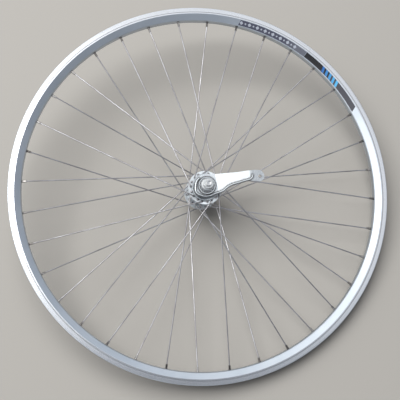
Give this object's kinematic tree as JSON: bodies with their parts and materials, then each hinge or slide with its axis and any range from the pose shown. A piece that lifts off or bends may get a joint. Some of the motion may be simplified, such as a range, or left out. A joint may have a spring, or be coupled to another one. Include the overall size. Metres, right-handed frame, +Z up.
{
  "type": "bicycle rear wheel with hub gear",
  "caption": "Spoked rear bicycle wheel on a small-flange hub gear with a coaster brake, its reaction arm, and full planetary gear, clutch, bearing and brake internals.",
  "frame": {"origin": "centre of the wheel on the axle's axis, midway between the flanges and midway between the axle's ends", "axes": "+Y along the axle toward the drive side, -Y toward the brake arm, +Z up, +X to the right seen from the brake arm's side"},
  "size_m": [0.635, 0.152, 0.635],
  "materials": {
    "rim_alloy": "anodised extrusion with machined brake tracks",
    "nipple_plate": "nickel-plated brass",
    "spoke_steel": "drawn stainless wire",
    "shell_steel": "turned and plated steel, satin",
    "arm_steel": "pressed steel, dull zinc plate",
    "zinc_steel": "zinc-plated turned steel",
    "dark_steel": "oiled dark steel",
    "gear_steel": "hardened, ground and oiled steel",
    "bronze": "phosphor bronze",
    "ball_steel": "polished bearing balls"
  },
  "bodies": {
    "axle_group": {"axle": "dark_steel", "sun_gear": "gear_steel", "arm_cone": "zinc_steel", "arm_dust_cap": "dark_steel", "brake_arm": "arm_steel", "arm_toothed_washer": "zinc_steel", "arm_locknut": "zinc_steel", "left_axle_washer": "zinc_steel", "left_axle_nut": "zinc_steel", "drive_cone": "zinc_steel", "cone_lock_washer": "dark_steel", "cone_spacer": "zinc_steel", "drive_locknut": "zinc_steel", "right_axle_washer": "zinc_steel", "right_axle_nut": "zinc_steel"},
    "wheel": {"rim": "rim_alloy", "rim_joint_sleeve": "rim_alloy", "nipples": "nipple_plate", "spokes_arm_side_outer": "spoke_steel", "spokes_arm_side_inner": "spoke_steel", "spokes_drive_side_outer": "spoke_steel", "spokes_drive_side_inner": "spoke_steel", "hub_shell": "shell_steel", "brake_drum_liner": "gear_steel", "left_ball_cup": "gear_steel", "right_ball_ring": "gear_steel", "low_gear_ratchet": "gear_steel"},
    "driver_group": {"driver": "dark_steel", "driver_dust_cap": "dark_steel"},
    "clutch_group": {"clutch": "gear_steel"},
    "selector_group": {"thrust_ring": "gear_steel", "axle_key": "gear_steel", "selector_rod": "gear_steel", "clutch_spring": "gear_steel"},
    "carrier_group": {"planet_carrier": "gear_steel", "planet_pins": "gear_steel", "low_pawl_pins": "gear_steel"},
    "planet_1": {"planet_gear_1": "gear_steel"},
    "planet_2": {"planet_gear_2": "gear_steel"},
    "planet_3": {"planet_gear_3": "gear_steel"},
    "planet_4": {"planet_gear_4": "gear_steel"},
    "ring_group": {"ring_gear": "gear_steel", "high_pawl_pins": "gear_steel"},
    "low_pawl_a": {"low_pawl_1": "gear_steel"},
    "low_pawl_b": {"low_pawl_2": "gear_steel"},
    "high_pawl_a": {"high_pawl_1": "gear_steel"},
    "high_pawl_b": {"high_pawl_2": "gear_steel"},
    "brake_cone_group": {"brake_cone": "gear_steel", "brake_drag_spring": "gear_steel"},
    "shoe_1": {"brake_shoe_1": "bronze"},
    "shoe_2": {"brake_shoe_2": "bronze"},
    "shoe_3": {"brake_shoe_3": "bronze"},
    "shoe_4": {"brake_shoe_4": "bronze"},
    "left_bearing": {"left_ball_cage": "bronze", "left_balls": "ball_steel"},
    "ring_bearing": {"ring_ball_cage": "bronze", "ring_balls": "ball_steel"},
    "cone_bearing": {"cone_ball_cage": "bronze", "cone_balls": "ball_steel"}
  },
  "joints": [
    {"name": "wheel_spin", "type": "hinge", "parent": "axle_group", "child": "wheel", "pos_m": [0, 0, 0], "axis": [0, 1, 0], "continuous": true},
    {"name": "driver_spin", "type": "hinge", "parent": "axle_group", "child": "driver_group", "pos_m": [0, 0.0355, 0], "axis": [0, 1, 0], "continuous": true},
    {"name": "gear_select", "type": "slide", "parent": "axle_group", "child": "selector_group", "axis": [0, 1, 0], "range_m": [0, 0.0044], "deforming": ["clutch_spring"]},
    {"name": "clutch_shift", "type": "slide", "parent": "driver_group", "child": "clutch_group", "axis": [0, 1, 0], "range_m": [0, 0.0044]},
    {"name": "carrier_spin", "type": "hinge", "parent": "axle_group", "child": "carrier_group", "pos_m": [0, 0, 0], "axis": [0, 1, 0], "continuous": true},
    {"name": "planet_1_spin", "type": "hinge", "parent": "carrier_group", "child": "planet_1", "pos_m": [0.01105, 0.007, 0], "axis": [0, 1, 0], "continuous": true},
    {"name": "planet_2_spin", "type": "hinge", "parent": "carrier_group", "child": "planet_2", "pos_m": [0, 0.007, 0.01105], "axis": [0, 1, 0], "continuous": true},
    {"name": "planet_3_spin", "type": "hinge", "parent": "carrier_group", "child": "planet_3", "pos_m": [-0.01105, 0.007, 0], "axis": [0, 1, 0], "continuous": true},
    {"name": "planet_4_spin", "type": "hinge", "parent": "carrier_group", "child": "planet_4", "pos_m": [0, 0.007, -0.01105], "axis": [0, 1, 0], "continuous": true},
    {"name": "ring_spin", "type": "hinge", "parent": "axle_group", "child": "ring_group", "pos_m": [0, 0.0115, 0], "axis": [0, 1, 0], "continuous": true},
    {"name": "low_pawl_a_swing", "type": "hinge", "parent": "carrier_group", "child": "low_pawl_a", "pos_m": [0.0125, 0, 0.00455], "axis": [0, 1, 0], "range_deg": [-3, 0]},
    {"name": "low_pawl_b_swing", "type": "hinge", "parent": "carrier_group", "child": "low_pawl_b", "pos_m": [-0.0125, 0, -0.00455], "axis": [0, 1, 0], "range_deg": [-3, 0]},
    {"name": "high_pawl_a_swing", "type": "hinge", "parent": "ring_group", "child": "high_pawl_a", "pos_m": [0.0131, 0.02405, 0.00231], "axis": [0, 1, 0], "range_deg": [-3, 0]},
    {"name": "high_pawl_b_swing", "type": "hinge", "parent": "ring_group", "child": "high_pawl_b", "pos_m": [-0.0131, 0.02405, -0.00231], "axis": [0, 1, 0], "range_deg": [-3, 0]},
    {"name": "brake_apply", "type": "slide", "parent": "axle_group", "child": "brake_cone_group", "axis": [0, -1, 0], "range_m": [0, 0.0027]},
    {"name": "shoe_1_spread", "type": "slide", "parent": "axle_group", "child": "shoe_1", "axis": [0.3746, -0.9272, 0], "range_m": [0, 0.00146]},
    {"name": "shoe_2_spread", "type": "slide", "parent": "axle_group", "child": "shoe_2", "axis": [0, -0.9272, 0.3746], "range_m": [0, 0.00146]},
    {"name": "shoe_3_spread", "type": "slide", "parent": "axle_group", "child": "shoe_3", "axis": [-0.3746, -0.9272, 0], "range_m": [0, 0.00146]},
    {"name": "shoe_4_spread", "type": "slide", "parent": "axle_group", "child": "shoe_4", "axis": [0, -0.9272, -0.3746], "range_m": [0, 0.00146]},
    {"name": "left_cage_spin", "type": "hinge", "parent": "axle_group", "child": "left_bearing", "pos_m": [0, -0.032, 0], "axis": [0, 1, 0], "continuous": true},
    {"name": "ring_cage_spin", "type": "hinge", "parent": "axle_group", "child": "ring_bearing", "pos_m": [0, 0.0305, 0], "axis": [0, 1, 0], "continuous": true},
    {"name": "cone_cage_spin", "type": "hinge", "parent": "axle_group", "child": "cone_bearing", "pos_m": [0, 0.0405, 0], "axis": [0, 1, 0], "continuous": true}
  ],
  "couplings": [
    {"joint": "clutch_shift", "follows": "gear_select", "ratio": 1},
    {"joint": "carrier_spin", "follows": "driver_spin", "ratio": 1},
    {"joint": "ring_spin", "follows": "driver_spin", "ratio": 1.4167},
    {"joint": "cone_cage_spin", "follows": "driver_spin", "ratio": 0.567},
    {"joint": "left_cage_spin", "follows": "wheel_spin", "ratio": 0.54},
    {"joint": "ring_cage_spin", "follows": "wheel_spin", "ratio": 0.545},
    {"joint": "planet_1_spin", "follows": "driver_spin", "ratio": 1.4286},
    {"joint": "planet_2_spin", "follows": "driver_spin", "ratio": 1.4286},
    {"joint": "planet_3_spin", "follows": "driver_spin", "ratio": 1.4286},
    {"joint": "planet_4_spin", "follows": "driver_spin", "ratio": 1.4286},
    {"joint": "shoe_1_spread", "follows": "brake_apply", "ratio": 0.53926},
    {"joint": "shoe_2_spread", "follows": "brake_apply", "ratio": 0.53926},
    {"joint": "shoe_3_spread", "follows": "brake_apply", "ratio": 0.53926},
    {"joint": "shoe_4_spread", "follows": "brake_apply", "ratio": 0.53926}
  ]
}
